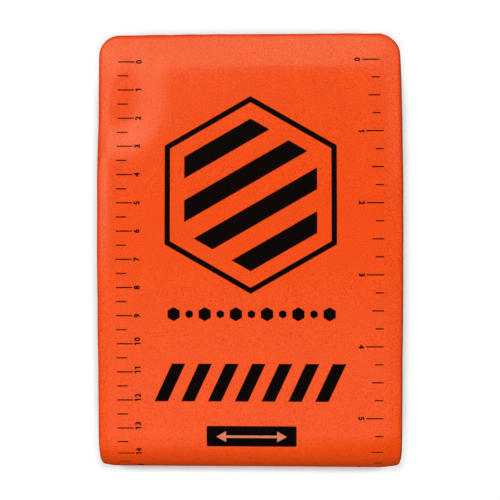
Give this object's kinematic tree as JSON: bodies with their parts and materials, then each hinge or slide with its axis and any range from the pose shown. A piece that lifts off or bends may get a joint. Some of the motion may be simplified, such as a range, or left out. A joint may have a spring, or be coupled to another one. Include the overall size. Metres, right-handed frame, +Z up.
{
  "type": "aluminium foam splint",
  "caption": "Malleable splint of soft aluminium between foam sheets, rolled up flat, with orange ruled foam outside and dark foam inside.",
  "frame": {"origin": "under the middle of the roll, on the surface that it lies on", "axes": "+Z up out of the printed top panel, +Y along the panels towards the strip's outer free end, +X across the strip"},
  "size_m": [0.109, 0.1572, 0.0335],
  "materials": {
    "printed_foam": "fine-grained closed-cell foam, orange, with black print",
    "aluminium": "mill finish",
    "back_foam": "fine-grained closed-cell foam, dark grey"
  },
  "bodies": {
    "root": {"printed_foam": "printed_foam", "aluminium_core": "aluminium", "back_foam": "back_foam"}
  },
  "joints": []
}
